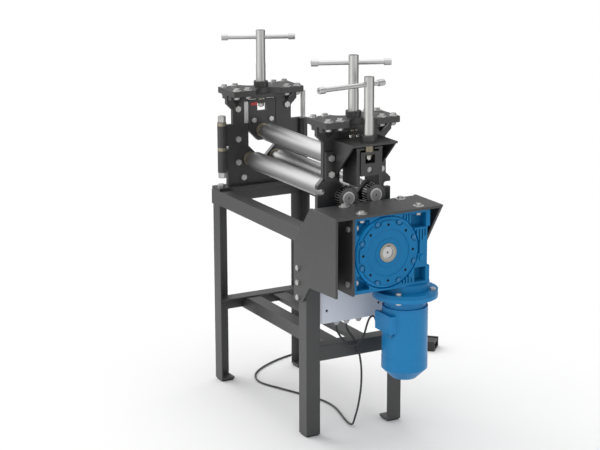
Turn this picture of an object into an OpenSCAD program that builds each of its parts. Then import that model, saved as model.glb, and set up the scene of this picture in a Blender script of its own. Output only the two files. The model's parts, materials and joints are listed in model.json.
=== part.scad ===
// Three-roller plate rolling machine on an angle-iron stand, with a swing-out gate,
// three feed screws, a gear train and a hanging worm-gear motor. Millimetres, +Z up.
// X runs along the rollers towards the gearbox, and the operator stands on the -Y side.

/* [Stand] */
// Length of the stand along the rollers
frame_len = 800; // [760:5:840]
// Distance from the housings' cheeks to the stand's sides
side_in = 53; // [50:1:60]
// Height of the stand's top flanges above the floor
frame_h = 828; // [800:4:880]
// Width of each flange of the angle iron
angle_w = 60; // [56:1:64]
// Thickness of the angle iron
angle_t = 6; // [4:0.5:8]
// Thickness of the square foot plates
foot_t = 10; // [6:1:14]
// Height of the rubber pads
pad_h = 6; // [4:0.5:10]
// Gap from the edge of a foot plate to its pad
pad_inset = 4; // [2:0.5:8]
// Drop from the stand's top to the tops of the lower rails
low_rail_drop = 466; // [458:2:500]
// Distance from the middle of the stand to each lower long rail's centre
low_rail_y = 61; // [50:1:80]
// Thickness of the strip across the far end
strip_t = 13; // [8:1:16]

/* [Housings] */
// Distance of the far housing plate's centre from the end of the stand
far_in = 28; // [26:1:32]
// Distance of the near housing plate's centre from the end of the stand
near_in = 18; // [16:1:20]
// Thickness of the housing plates
plate_t = 20; // [18:0.5:22]
// Width of the base flange under each housing plate
base_w = 70; // [60:2:70]
// Thickness of the base flange
base_t = 12; // [8:1:14]
// Half width of the window that the slider runs in
slot_half = 64; // [60:1:66]
// Width of the upright on each side of the window
upright_w = 71; // [68:1:76]
// Distance that the cheeks stand out past the uprights
cheek_out = 25; // [22:1:28]
// Distance that the head stands out past the uprights
head_out = 27; // [24:1:30]
// Gap between a slider and each side of its window
slot_play = 2; // [0.5:0.5:3]
// Height of the parting line above the stand
parting_h = 173; // [170:1:176]
// Height of the housing plates above the stand
head_h = 391; // [388:1:396]
// Width of the head plate along X
top_w = 150; // [144:2:160]
// Thickness of the head plate
top_t = 24; // [18:1:28]
// Thickness of the gussets under the head plate
gusset_t = 8; // [6:1:10]
// Outer diameter of the threaded bosses
boss_d = 60; // [54:1:62]
// Height of the threaded bosses
boss_h = 23; // [18:1:28]
// Diameter of the housing bolts
bolt_d = 14; // [12:1:16]
// Diameter of the head plates' bolts
head_bolt_d = 12; // [10:1:14]
// Thickness of the washers under bolt heads
washer_t = 3; // [2:0.5:4]

/* [Gate hinge and latch] */
// Diameter of the hinge pin and of the latch pin
pin_d = 20; // [18:1:22]
// Outer diameter of the knuckles
knuckle_d = 38; // [36:1:40]
// Length of each knuckle
knuckle_len = 90; // [84:1:91]
// Thickness of the bronze washers between the knuckles
ring_t = 14; // [10:1:14]

/* [Rollers] */
// Diameter of the rollers
roller_d = 76; // [70:1:78]
// Distance between the two lower axes
roller_gap = 120; // [118:1:122]
// Height of the lower axes above the stand
low_axis_h = 120; // [118:1:122]
// Height of the top axis above the lower axes, as stored
top_axis_h = 114; // [112:1:116]
// Distance from the far housing plate to the barrels
barrel_far = 62; // [55:1:80]
// Distance from the near housing plate to the barrels
barrel_near = 62; // [55:1:80]
// Diameter of the journals
journal_d = 42; // [38:1:44]
// Diameter of the top roller's tail
tail_d = 23; // [20:1:26]
// Wall of the bronze bushes
bush_wall = 5; // [4:0.5:6]
// Thickness of the bushes' flanges
bush_flange_t = 5; // [3:0.5:5]

/* [Screws] */
// Diameter of the feed screws' threads
screw_d = 40; // [36:1:41]
// Diameter of the plain upper ends of the screws
stem_d = 38; // [34:1:39]
// Length of the plain upper ends of the screws
stem_len = 135; // [125:1:150]
// Length of thread that shows above the boss
thread_show = 75; // [70:1:90]
// Diameter of the stubs that hold the sliders
stub_d = 14; // [12:1:16]
// Distance from the near housing to the tail screw
tail_out = 114; // [110:1:118]
// Diameter of the tommy bars
bar_d = 18; // [15:0.5:20]
// Length of a tommy bar over its caps
bar_len = 302; // [280:2:310]
// Diameter of the bars' caps
cap_d = 26; // [23:0.5:28]
// Length of the bars' caps
cap_len = 27; // [20:1:30]

/* [Gears] */
// Module of the gear train
gear_m = 3; // [2.9:0.05:3.1]
// Width of the gears
gear_w = 30; // [24:1:32]
// Distance from the near housing plate to the gears
gear_out = 30; // [28:1:32]

/* [Drive] */
// Sideways offset of the gearbox axis from the middle of the stand
drive_y = 5.7; // [3:0.1:8]
// Distance from the output axis to the bolted side of the gearbox
box_left = 147.5; // [142:0.5:152]
// Distance from the output axis to the motor side of the gearbox
box_right = 187.5; // [184:0.5:192]
// Distance from the output axis up to the bolted top and down to the motor side
box_half_z = 146.25; // [142:0.25:150]
// Depth of the gearbox between its output faces
box_x = 170; // [166:1:174]
// Distance between the worm and the output shaft
worm_gap = 130; // [128:1:132]
// Bore of the hollow output shaft
sleeve_bore = 45; // [42:1:48]
// Outer diameter of the hollow output shaft
sleeve_d = 72; // [66:1:76]
// Distance from the gears to the gearbox
box_out = 10.5; // [8:0.5:14]
// Thickness of the drive bracket's plates
bracket_t = 10; // [8:1:12]
// Diameter of the motor flange
flange_d = 250; // [244:2:256]
// Thickness of the motor flange and of its counter flange
flange_t = 14.5; // [12:0.5:16]
// Diameter of the motor's body
motor_d = 176; // [170:1:180]
// Length of the motor below its flange
motor_len = 325; // [315:1:330]

/* [Controls] */
// Half width of the control box
ctrl_half = 140; // [130:1:145]
// Depth of the control box
ctrl_d = 110; // [90:5:130]
// Height of the control box
ctrl_h = 375; // [360:1:390]
// Outer diameter of the cable glands
gland_d = 26; // [22:1:28]
// Diameter of the cables
cable_d = 8; // [6:0.5:9]
// Length of the foot pedal
pedal_len = 135; // [120:5:150]
// Width of the foot pedal
pedal_w = 88; // [80:2:96]

/* [Hidden] */

// Fits and small gaps
run = 0.08; // radial clearance of a shaft in its bush
gap = 0.3; // between parts that move past each other
hole_play = 0.5; // radial clearance round a bolt's shank
cut = 1; // how far a cutting tool reaches past a face

// Main planes
far_x = -frame_len / 2 + far_in;
near_x = frame_len / 2 - near_in;
far_face = far_x + plate_t / 2;
near_face = near_x - plate_t / 2;
near_out = near_x + plate_t / 2;
waist_half = slot_half + upright_w;
cheek_half = waist_half + cheek_out;
head_half = waist_half + head_out;
top_half = head_half - 2;
side_y = cheek_half + side_in;
frame_w = 2 * side_y;
axis_z = frame_h + low_axis_h;
top_z = axis_z + top_axis_h;
low_rail_z = frame_h - low_rail_drop;
part_z = frame_h + parting_h;
head_z = frame_h + head_h;
plate_z = head_z + top_t;
boss_z = plate_z + boss_h;
bar_h = 18; // depth of the bar under the head plate
bar_half = top_w / 2 - 34;
notch_z = part_z - slot_half;

// Hinge and latch
hinge_x = far_face + 5;
hinge_y = cheek_half + 29;
low_knuckle_z = part_z - 7 - knuckle_len;
up_knuckle_z = part_z + 7;
ring_low_z = part_z - 7;
pin_r = pin_d / 2;

// Sliders
slider_half = slot_half - slot_play;
slider_top = head_z - bar_h - 11;
slider_foot = top_z - 42;
bush_r = journal_d / 2 + bush_wall;
eye_half = 22;
eye_low = slider_top - 47;
eye_high = slider_top - 13;
stub_r = stub_d / 2;
nut_h = 12;
ring_h = 4;

// Tail
tail_x = near_x + tail_out;
shelf_z = frame_h + 332;
shelf_t = 8;
shelf_len = 153;
shelf_half = 97;
tail_top = shelf_z + shelf_t + 25;
tail_slide_top = top_z + 69;

// Gears, in teeth
roller_teeth = 28;
idler_teeth = 36;
drive_teeth = 32;
gear_x0 = near_out + gear_out;
gear_x1 = gear_x0 + gear_w;
mesh_low = gear_m * (roller_teeth + idler_teeth) / 2;
mesh_drive = gear_m * (drive_teeth + idler_teeth) / 2;
idler_z = axis_z - sqrt(pow(mesh_low, 2) - pow(roller_gap / 2, 2));
drive_z = idler_z - sqrt(pow(mesh_drive, 2) - pow(drive_y, 2));
backlash = 0.3;
idler_turn = 90;
front_dir = atan2(axis_z - idler_z, -roller_gap / 2);
rear_dir = atan2(axis_z - idler_z, roller_gap / 2);
drive_dir = atan2(drive_z - idler_z, drive_y);

// Gearbox and motor
box_x0 = gear_x1 + box_out;
box_x1 = box_x0 + box_x;
mid_box = (box_x0 + box_x1) / 2;
box_y0 = drive_y - box_left;
box_y1 = drive_y + box_right;
box_z0 = drive_z - box_half_z;
box_z1 = drive_z + box_half_z;
motor_y = drive_y + worm_gap;
motor_top = box_z0 - 30;
rim_r = 134; // round rim on the gearbox's face
rim_t = 10;
face_r = 122.5; // raised face of the cover
face_t = 5;
corner_wall = 13;
side_wall = 17;
pocket_h = 56;

// Slots between the fins: y, lower z and upper z from the output axis
front_slots = [
    [70, 70, 136], [82, 70, 136], [94, 60, 136], [128, 40, 71], [141, -24, 71], [154, 28, 71], [166, 43, 71],
    [70, -132, -90], [82, -132, -80], [94, -132, -70], [108, -131, -114]
];
end_x = box_x1 + 7.5;
back_y = side_y + 29;

// Tommy bars: height above the floor, turn from +X and slide
far_turn = 66;
near_turn = 67.5;
tail_turn = 97.8;
main_slide = -9;
tail_slide = -82;
screw_top = boss_z + thread_show + stem_len;
tail_screw_top = tail_top + thread_show + stem_len + 8;
bar_drop = 28;
tail_reach = (bar_len / 2 - tail_slide) * sin(tail_turn) + cap_d / 2 * abs(cos(tail_turn));

// The frame's origin is under the middle of the machine without its cables
mid_x = (max(end_x, mid_box + flange_d / 2) + far_x - top_w / 2) / 2;
mid_y = (max(back_y, motor_y + flange_d / 2) - tail_reach) / 2;

// Bolt positions, as y and height above the stand
gate_bolt_y = waist_half - 21;
near_bolt_y = waist_half - 26;
far_low_bolts = [[gate_bolt_y, 109], [-gate_bolt_y, 109], [90, 43.5], [-90, 43.5]];
gate_bolt_at = [[gate_bolt_y, 332], [-gate_bolt_y, 332], [gate_bolt_y, 206], [-gate_bolt_y, 206]];
near_bolt_at = [[near_bolt_y, 270], [-near_bolt_y, 270], [near_bolt_y, 208], [-near_bolt_y, 208]];
head_bolt_at = [
    for (sx = [-1, 1], sy = [-1, 1], y = [top_half - 20, top_half - 70]) [sx * (top_w / 2 - 17), sy * y]
];
leg_bolt_z = [for (h = [66, 7, -51]) box_z0 - h];
leg_bolt_x = frame_len / 2 - 45;
leg_foot_z = box_z0 - 85; // lower edge of the drive bracket at the legs
box_bolt = 64;
flange_bolt = flange_d / 2 - 17.5;
neck_r = flange_d / 2 - 33; // neck of the gearbox at the motor's flange
cowl_step = 2; // fan cowl, wider than the motor's body
anchor_y = cheek_half + side_in / 2;
slider_bolt_y = slider_half - 22;
slider_bolt_z = part_z + 106;
ctrl_z = frame_h - angle_t - ctrl_h;
term_x = mid_box - 55;
term_y = motor_y - motor_d / 2 - 12;
term_z = motor_top - 159;

// Cable routes, in millimetres: down from the control box, then to the motor or along the floor
gland_x = near_face;
term_lead_x = term_x - 24.5;
motor_route = [
    [gland_x, -65, ctrl_z - 16], [gland_x, -65, ctrl_z - 32], [gland_x + 8, -60, ctrl_z - 52],
    [gland_x + 31, -48, ctrl_z - 77], [gland_x + 42, -30, ctrl_z - 93], [gland_x + 46, -6, ctrl_z - 95],
    [gland_x + 46, 16, ctrl_z - 83], [gland_x + 44, 34, ctrl_z - 57], [gland_x + 44, 46, ctrl_z - 21],
    [term_lead_x - 44, 52, term_z + 16], [term_lead_x - 26, term_y + 18, term_z + 30],
    [term_lead_x - 12, term_y + 18, term_z + 32], [term_lead_x, term_y + 18, term_z + 32]
];
pedal_route = [
    [gland_x, -21, ctrl_z - 16], [gland_x, -21, ctrl_z - 32], [gland_x + 8, -16, ctrl_z - 49],
    [gland_x + 24, -4, ctrl_z - 73], [gland_x + 32, 8, ctrl_z - 102], [gland_x + 34, 20, ctrl_z - 147],
    [gland_x + 36, 27, 0.54 * ctrl_z], [gland_x + 38, 24, 0.38 * ctrl_z], [gland_x + 38, 12, 0.22 * ctrl_z],
    [gland_x + 34, 0, 0.11 * ctrl_z], [gland_x + 16, 0, 16], [gland_x - 22, 5, 6],
    [295, 16, 5], [179, 45, 5], [106, 48, 5], [60, 40, 5], [0, 18, 5], [-70, -10, 5],
    [-139, -39, 5], [-215, -71, 5], [-271, -78, 5], [-334, -58, 5], [-390, -12, 5], [-440, 60, 5],
    [-480, 140, 5], [-510, 240, 5], [-520, 350, 5], [-505, 470, 5], [-470, 580, 6], [-430, 655, 11],
    [-399, 695, 18], [-384, 710, 20], [-369, 725, 20]
];
pedal_at = [-321.3, 772.7, 0];
pedal_turn = 45;

module place() translate([-mid_x, -mid_y, 0]) children();

// Small parts used in several places

// Hexagon bolt with its head on z = 0, shank downwards and a nut at the far end
module bolt(d, grip, nut = true) {
    head = 0.65 * d;
    union() {
        cylinder(d = 1.9 * d, h = head, $fn = 6);
        translate([0, 0, -grip]) cylinder(d = d, h = grip, $fn = 24);
    }
    if (nut) translate([0, 0, -grip - 0.8 * d]) cylinder(d = 1.9 * d, h = 0.8 * d, $fn = 6);
}

// Turns a part that points up so that it points along +X
module to_x() rotate([0, 90, 0]) children();

// Stands a drawing of Y and Z up and makes it thick along X
module plate_x(x0, t) translate([x0, 0, 0]) rotate([90, 0, 90]) linear_extrude(t) children();

// Stands a drawing of X and Z up and makes it thick along Y
module plate_y(y0, t) translate([0, y0 + t, 0]) rotate([90, 0, 0]) linear_extrude(t) children();

module rod_x(x0, x1, d, fn = 48) translate([x0, 0, 0]) to_x() cylinder(d = d, h = x1 - x0, $fn = fn);

// Stand

module leg(ex, ey) {
    translate([ex * frame_len / 2, ey * side_y, pad_h])
    mirror([ex > 0 ? 1 : 0, 0, 0])
    mirror([0, ey > 0 ? 1 : 0, 0])
    union() {
        cube([angle_w, angle_w, foot_t]);
        cube([angle_t, angle_w, frame_h - angle_w - pad_h]);
        cube([angle_w, angle_t, frame_h - angle_w - pad_h]);
    }
}

module leg_holes(y0, y1) {
    for (z = leg_bolt_z)
        translate([leg_bolt_x, y0, z]) rotate([-90, 0, 0]) cylinder(r = 6 + hole_play, h = y1 - y0, $fn = 24);
}

module leg_far_front() color("#3f4245") place() leg(-1, -1);
module leg_far_rear() color("#3f4245") place() leg(-1, 1);

module leg_near_front() color("#3f4245") place() difference() {
    leg(1, -1);
    leg_holes(-side_y - cut, -side_y + angle_t + cut);
}

module leg_near_rear() color("#3f4245") place() difference() {
    leg(1, 1);
    leg_holes(side_y - angle_t - cut, side_y + cut);
}

module foot_pads() color("#1c1c1c") place() {
    for (ex = [-1, 1], ey = [-1, 1])
        translate([ex * (frame_len - angle_w) / 2, ey * (frame_w - angle_w) / 2, pad_h / 2])
            cube([angle_w - 2 * pad_inset, angle_w - 2 * pad_inset, pad_h], center = true);
}

module anchor_holes() {
    for (x = [far_x - 2, near_x - 6], y = [-anchor_y, anchor_y])
        translate([x, y, frame_h - angle_w])
            cylinder(r = 8 + hole_play, h = angle_w + base_t + cut, $fn = 24);
}

module long_rail(ey) difference() {
    mirror([0, ey > 0 ? 1 : 0, 0])
    translate([-frame_len / 2, -side_y, frame_h - angle_w])
    union() {
        cube([frame_len, angle_t, angle_w]);
        translate([0, 0, angle_w - angle_t]) cube([frame_len, angle_w, angle_t]);
    }
    anchor_holes();
}

module top_rail_front() color("#3f4245") place() long_rail(-1);
module top_rail_rear() color("#3f4245") place() long_rail(1);

module cross_rail(ex) {
    clear_y = side_y - angle_w;
    translate([ex * frame_len / 2, 0, 0])
    mirror([ex > 0 ? 1 : 0, 0, 0])
    union() {
        translate([0, -side_y + angle_t, frame_h - angle_w])
            cube([angle_t, frame_w - 2 * angle_t, angle_w - angle_t]);
        translate([0, -clear_y, frame_h - angle_w]) cube([angle_t, 2 * clear_y, angle_w]);
        translate([0, -clear_y, frame_h - angle_t]) cube([angle_w, 2 * clear_y, angle_t]);
    }
}

module top_rail_far() color("#3f4245") place() union() {
    cross_rail(-1);
    translate([-frame_len / 2 - strip_t, -side_y, frame_h - angle_w - 4])
        cube([strip_t, frame_w, angle_w + 2]);
}

module top_rail_near() color("#3f4245") place() cross_rail(1);

module low_cross_rails() color("#3f4245") place() {
    for (ex = [-1, 1])
        translate([ex * (frame_len / 2 - angle_t), 0, low_rail_z - angle_w])
        mirror([ex > 0 ? 1 : 0, 0, 0])
        union() {
            translate([0, -side_y + angle_t, 0]) cube([angle_t, frame_w - 2 * angle_t, angle_w]);
            translate([0, -side_y + angle_t, angle_w - angle_t])
                cube([angle_w, frame_w - 2 * angle_t, angle_t]);
        }
}

module low_long_rails() color("#3f4245") place() {
    rail_len = frame_len - 4 * angle_t;
    for (ey = [-1, 1])
        translate([0, ey * low_rail_y, low_rail_z - angle_t])
        mirror([0, ey > 0 ? 1 : 0, 0])
        union() {
            translate([-rail_len / 2, -angle_w / 2, -angle_t]) cube([rail_len, angle_w, angle_t]);
            translate([-rail_len / 2, -angle_w / 2, -angle_w + angle_t])
                cube([rail_len, angle_t, angle_w - angle_t]);
        }
}

// Far housing, fixed part

module edge_slots(x0) {
    for (s = [-1, 1]) {
        translate([x0 - cut, s > 0 ? waist_half + 6 : -cheek_half - cut, part_z - 43])
            cube([plate_t + 2 * cut, cheek_half - waist_half - 6 + cut, 21]);
        translate([x0 - cut, s * (waist_half + 6), part_z - 32.5]) to_x()
            cylinder(d = 21, h = plate_t + 2 * cut, $fn = 32);
    }
}

module bush_holes(x0) {
    for (s = [-1, 1])
        translate([x0 - cut, s * roller_gap / 2, axis_z]) to_x()
            cylinder(r = bush_r, h = plate_t + 2 * cut, $fn = 64);
}

module bolt_holes(x0, at) {
    for (p = at)
        translate([x0 - cut, p[0], frame_h + p[1]]) to_x()
            cylinder(r = bolt_d / 2 + hole_play, h = plate_t + 2 * cut, $fn = 24);
}

module base_flange(x) difference() {
    translate([x - base_w / 2, -side_y, frame_h]) cube([base_w, frame_w, base_t]);
    anchor_holes();
}

module knuckle(s, z0, z1) difference() {
    union() {
        translate([hinge_x, s * hinge_y, z0]) cylinder(d = knuckle_d, h = z1 - z0, $fn = 48);
        translate([far_x - plate_t / 2, s > 0 ? waist_half - 8 : -hinge_y, z0])
            cube([plate_t, hinge_y - waist_half + 8, z1 - z0]);
    }
    translate([hinge_x, s * hinge_y, z0 - cut]) cylinder(r = pin_r + run, h = z1 - z0 + 2 * cut, $fn = 48);
}

module far_lower_plate() color("#3f4245") place() union() {
    difference() {
        union() {
            plate_x(far_x - plate_t / 2, plate_t) polygon([
                [-cheek_half, frame_h + base_t / 2], [cheek_half, frame_h + base_t / 2], [cheek_half, part_z - 6],
                [cheek_half - 6, part_z], [slot_half, part_z], [0, notch_z], [-slot_half, part_z],
                [-cheek_half + 6, part_z], [-cheek_half, part_z - 6]
            ]);
            base_flange(far_x);
        }
        bush_holes(far_x - plate_t / 2);
        bolt_holes(far_x - plate_t / 2, far_low_bolts);
    }
    for (s = [-1, 1]) knuckle(s, low_knuckle_z, low_knuckle_z + knuckle_len);
}

module hinge_pin() color("#a9abad") place() translate([hinge_x, -hinge_y, 0]) {
    top = up_knuckle_z + knuckle_len + 2 + ring_t;
    translate([0, 0, low_knuckle_z - 24]) cylinder(d = pin_d, h = top - low_knuckle_z + 24, $fn = 48);
    translate([0, 0, top]) cylinder(d = 34, h = 25, $fn = 6);
    translate([0, 0, low_knuckle_z - 24]) cylinder(d = 34, h = 24, $fn = 6);
}

module bush(x_flange, x_end) {
    dir = x_end > x_flange ? 1 : -1;
    body = abs(x_end - x_flange) - bush_flange_t;
    translate([x_flange, 0, 0]) rotate([0, 90 * dir, 0]) difference() {
        union() {
            cylinder(r = bush_r + 3, h = bush_flange_t, $fn = 64);
            cylinder(r = bush_r, h = bush_flange_t + body, $fn = 64);
        }
        translate([0, 0, -cut]) cylinder(r = journal_d / 2 + run, h = body + bush_flange_t + 2 * cut, $fn = 64);
    }
}

module bronze_bushes() color("#9a8f6a") place() {
    for (s = [-1, 1]) translate([0, s * roller_gap / 2, axis_z]) {
        bush(far_face + bush_flange_t, far_face - plate_t);
        bush(near_face - bush_flange_t, near_face + plate_t);
    }
    for (p = [[-1, ring_low_z], [1, ring_low_z], [-1, up_knuckle_z + knuckle_len]])
        translate([hinge_x, p[0] * hinge_y, p[1]]) difference() {
            cylinder(d = knuckle_d, h = ring_t, $fn = 48);
            translate([0, 0, -cut]) cylinder(r = pin_r + run, h = ring_t + 2 * cut, $fn = 48);
        }
}

// Near housing

module near_plate() color("#3f4245") place() difference() {
    union() {
        difference() {
            plate_x(near_face, plate_t) polygon([
                [-cheek_half, frame_h + base_t / 2], [cheek_half, frame_h + base_t / 2], [cheek_half, part_z - 6],
                [waist_half, part_z + 19], [waist_half, head_z - 63], [head_half, head_z - 36],
                [head_half, head_z], [-head_half, head_z], [-head_half, head_z - 36],
                [-waist_half, head_z - 63], [-waist_half, part_z + 19], [-cheek_half, part_z - 6]
            ]);
            plate_x(near_face - cut, plate_t + 2 * cut) polygon([
                [0, notch_z], [slot_half, part_z], [slot_half, head_z - bar_h],
                [-slot_half, head_z - bar_h], [-slot_half, part_z]
            ]);
        }
        base_flange(near_x);
        head_bar(near_x);
    }
    edge_slots(near_face);
    bush_holes(near_face);
    bolt_holes(near_face, near_bolt_at);
    translate([near_face - cut, 0, idler_z]) to_x() cylinder(d = 24, h = plate_t + 2 * cut, $fn = 48);
    translate([near_x, 0, head_z - bar_h - cut])
        cylinder(r = screw_d / 2 + run, h = bar_h + 2 * cut, $fn = 64);
}

// Bar and gussets that carry the head plate
module head_bar(x) {
    translate([x - bar_half, -head_half + 4, head_z - bar_h]) cube([2 * bar_half, 2 * head_half - 8, bar_h]);
    for (s = [-1, 1])
        plate_y(s * 115 - gusset_t / 2, gusset_t)
            polygon([
                [x - top_w / 2 + 5, head_z], [x + top_w / 2 - 5, head_z],
                [x + 10, head_z - 44], [x - 10, head_z - 44]
            ]);
}

// Bow-tie head plate with its welded boss
module head_plate(x) difference() {
    union() {
        difference() {
            translate([x - top_w / 2, -top_half, head_z]) cube([top_w, 2 * top_half, top_t]);
            for (s = [-1, 1]) translate([x + s * 100, 0, head_z - cut])
                cylinder(r = 66, h = top_t + 2 * cut, $fn = 64);
        }
        translate([x, 0, plate_z]) cylinder(d = boss_d, h = boss_h, $fn = 64);
    }
    translate([x, 0, head_z - cut]) cylinder(r = screw_d / 2 + run, h = top_t + boss_h + 2 * cut, $fn = 64);
    for (p = head_bolt_at)
        translate([x + p[0], p[1], head_z - cut])
            cylinder(r = head_bolt_d / 2 + hole_play, h = top_t + 2 * cut, $fn = 24);
}

// A bolt on a washer of diameter wide that rests on z = 0
module washer_bolt(d, wide, grip) {
    cylinder(d = wide, h = washer_t, $fn = 32);
    translate([0, 0, washer_t]) bolt(d, grip + washer_t);
}

module head_bolts(x) {
    for (p = head_bolt_at) translate([x + p[0], p[1], plate_z])
        washer_bolt(head_bolt_d, 2.8 * head_bolt_d, top_t);
}

module near_head_plate() color("#4a4d50") place() head_plate(near_x);

module housing_bolts() color("#a9abad") place() {
    head_bolts(near_x);
    for (p = near_bolt_at) translate([near_out + 12, p[0], frame_h + p[1]]) to_x() bolt(bolt_d, plate_t + 12);
    for (p = far_low_bolts) translate([far_face, p[0], frame_h + p[1]]) to_x() bolt(bolt_d, plate_t);
    for (x = [far_x - 2, near_x - 6], y = [-anchor_y, anchor_y])
        translate([x, y, frame_h + base_t]) bolt(16, base_t + angle_t);
}

// Tail bracket

module tail_bracket() color("#3f4245") place() difference() {
    union() {
        translate([near_out, -shelf_half, shelf_z]) cube([shelf_len, 2 * shelf_half, shelf_t]);
        translate([tail_x, 0, shelf_z + shelf_t])
            cylinder(d = boss_d, h = tail_top - shelf_z - shelf_t, $fn = 64);
        for (s = [-1, 1]) {
            translate([near_out, s * near_bolt_y - 25 - s * 2, shelf_z - 150]) cube([12, 50, 112]);
            plate_y(s * 90 - gusset_t / 2, gusset_t)
                polygon([
                    [near_out, shelf_z], [near_out + shelf_len - 5, shelf_z], [near_out, shelf_z - 150]
                ]);
            translate([near_out + 1, s * 48 - 4, shelf_z - 160]) cube([tail_out - 9, 8, 160]);
            translate([tail_x - 9, s > 0 ? 41 : -55, shelf_z - 160]) cube([16, 14, 138]);
            translate([tail_x - 9, s > 0 ? 22 : -57, shelf_z - 22]) cube([16, 35, 8]);
        }
    }
    translate([tail_x, 0, shelf_z - cut]) cylinder(r = screw_d / 2 + run, h = 40, $fn = 64);
    translate([near_out - cut, -screw_d / 2 - 4, shelf_z - cut]) cube([15, screw_d + 8, shelf_t + 2 * cut]);
    for (p = near_bolt_at)
        translate([near_out - cut, p[0], frame_h + p[1]]) to_x()
            cylinder(r = bolt_d / 2 + hole_play, h = 14, $fn = 24);
}

// Gears

function inv(a) = tan(a) * 180 / PI - a;

// Angle from a tooth's middle to its flank at radius r
function flank(n, r) =
    let (rp = gear_m * n / 2, rb = rp * cos(20), a = acos(min(1, rb / r)))
    (PI * gear_m / 2 - backlash) / 2 / rp * 180 / PI + inv(20) - inv(a);

module gear_outline(n, turn) {
    rp = gear_m * n / 2;
    root = rp - 1.25 * gear_m;
    base = max(root + 0.2, rp * cos(20));
    tip = rp + gear_m;
    radii = [base, (base + rp) / 2, rp, (rp + tip) / 2, tip];
    pts = [for (i = [0:n - 1])
        let (mid = turn + i * 360 / n)
        for (q = concat(
            [[root, -flank(n, base) - 0.5]],
            [for (r = radii) [r, -flank(n, r)]],
            [for (j = [len(radii) - 1:-1:0]) [radii[j], flank(n, radii[j])]],
            [[root, flank(n, base) + 0.5]]
        )) [q[0] * cos(mid + q[1]), q[0] * sin(mid + q[1])]];
    polygon(pts);
}

// Turn of a gear of n teeth that meshes with the idler in direction a
function mesh_turn(n, a) = a + 180 - (0.5 - idler_teeth * (a - idler_turn) / 360) * 360 / n;

module spur(n, turn, hub, bore, x0, x1) difference() {
    union() {
        plate_x(gear_x0, gear_w) gear_outline(n, turn);
        rod_x(x0, x1, hub);
    }
    rod_x(x0 - cut, x1 + cut, bore);
}

module front_gear() color("#8d8f92") place() translate([0, -roller_gap / 2, axis_z])
    spur(roller_teeth, mesh_turn(roller_teeth, front_dir), 50, 40, gear_x0 - 6, gear_x1 + 3);

module rear_gear() color("#8d8f92") place() translate([0, roller_gap / 2, axis_z])
    spur(roller_teeth, mesh_turn(roller_teeth, rear_dir), 50, 40, gear_x0 - 6, gear_x1 + 3);

module idler_gear() color("#8d8f92") place() translate([0, 0, idler_z])
    spur(idler_teeth, idler_turn, 44, 24 + 2 * run, gear_x0 - 4, gear_x1 + 1);

module idler_pin() color("#a9abad") place() translate([0, 0, idler_z]) {
    rod_x(near_face, gear_x1 + 2, 24);
    rod_x(near_out, gear_x0 - 5, 44);
    rod_x(gear_x1 + 2, gear_x1 + 6, 40);
}

module drive_shaft() color("#a9abad") place() translate([0, drive_y, drive_z]) difference() {
    union() {
        plate_x(gear_x0, gear_w) gear_outline(drive_teeth, mesh_turn(drive_teeth, drive_dir));
        rod_x(gear_x0 - 2, gear_x1 + 3, 60);
        rod_x(gear_x0 - 2, box_x1 - 4, sleeve_bore);
    }
    translate([box_x1 - 12, 0, 0]) to_x() cylinder(d = 8, h = 10, $fn = 24);
}

// Rollers

module barrel(y, z) translate([0, y, z]) {
    depth = (roller_d - journal_d) / 2;
    x0 = far_face + barrel_far;
    x1 = near_face - barrel_near;
    rod_x(x0, x1, roller_d, 96);
    translate([x0 - depth, 0, 0]) to_x() cylinder(d1 = journal_d, d2 = roller_d, h = depth, $fn = 96);
    translate([x1, 0, 0]) to_x() cylinder(d1 = roller_d, d2 = journal_d, h = depth, $fn = 96);
}

module low_roller(y) difference() {
    union() {
        barrel(y, axis_z);
        translate([0, y, axis_z]) {
            rod_x(far_face - plate_t - 2, gear_x0 - 6, journal_d, 64);
            rod_x(gear_x0 - 6, gear_x1 + 3, 40);
        }
    }
    translate([gear_x1 - 5, y, axis_z]) to_x() cylinder(d = 8, h = 10, $fn = 24);
}

module front_roller() color("#b9bbbd") place() low_roller(-roller_gap / 2);
module rear_roller() color("#b9bbbd") place() low_roller(roller_gap / 2);

module top_roller() color("#b9bbbd") place() union() {
    barrel(0, top_z);
    translate([0, 0, top_z]) {
        rod_x(far_face, near_out + 4, journal_d, 64);
        translate([far_face - 22, 0, 0]) to_x()
            cylinder(d1 = journal_d - 4, d2 = journal_d, h = 22, $fn = 64);
        rod_x(near_out + 4, tail_x + 7, tail_d);
    }
}

// Gate

module gate_frame() color("#3f4245") place() union() {
    difference() {
        union() {
            for (s = [-1, 1])
                plate_x(far_x - plate_t / 2, plate_t) polygon([
                    [s * slot_half, part_z + gap], [s * (cheek_half - 6 - gap), part_z + gap],
                    [s * waist_half, part_z + 19], [s * waist_half, head_z - 63],
                    [s * head_half, head_z - 36], [s * head_half, head_z], [s * slot_half, head_z]
                ]);
            head_bar(far_x);
        }
        bolt_holes(far_x - plate_t / 2, gate_bolt_at);
        translate([far_x, 0, head_z - bar_h - cut])
            cylinder(r = screw_d / 2 + run, h = bar_h + 2 * cut, $fn = 64);
    }
    for (s = [-1, 1]) knuckle(s, up_knuckle_z + 0.2, up_knuckle_z + knuckle_len - 0.2);
}

module gate_head_plate() color("#4a4d50") place() head_plate(far_x);

module gate_bolts() color("#a9abad") place() {
    head_bolts(far_x);
    for (p = gate_bolt_at) translate([far_face, p[0], frame_h + p[1]]) to_x() bolt(bolt_d, plate_t);
}

module gate_scale() color("#c9cbcd") place()
    translate([far_face, -84, part_z + 97]) cube([1.5, 19, 89]);

module latch_pin() color("#a9abad") place() translate([hinge_x, hinge_y, 0]) union() {
    translate([0, 0, up_knuckle_z + ring_t - 13])
        cylinder(d = pin_d, h = head_z - 7 - up_knuckle_z - ring_t + 13, $fn = 48);
    translate([0, 0, head_z - 14]) rotate([90, 0, 0]) cylinder(d = 8, h = 24, $fn = 24);
}

// Sliders

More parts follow.
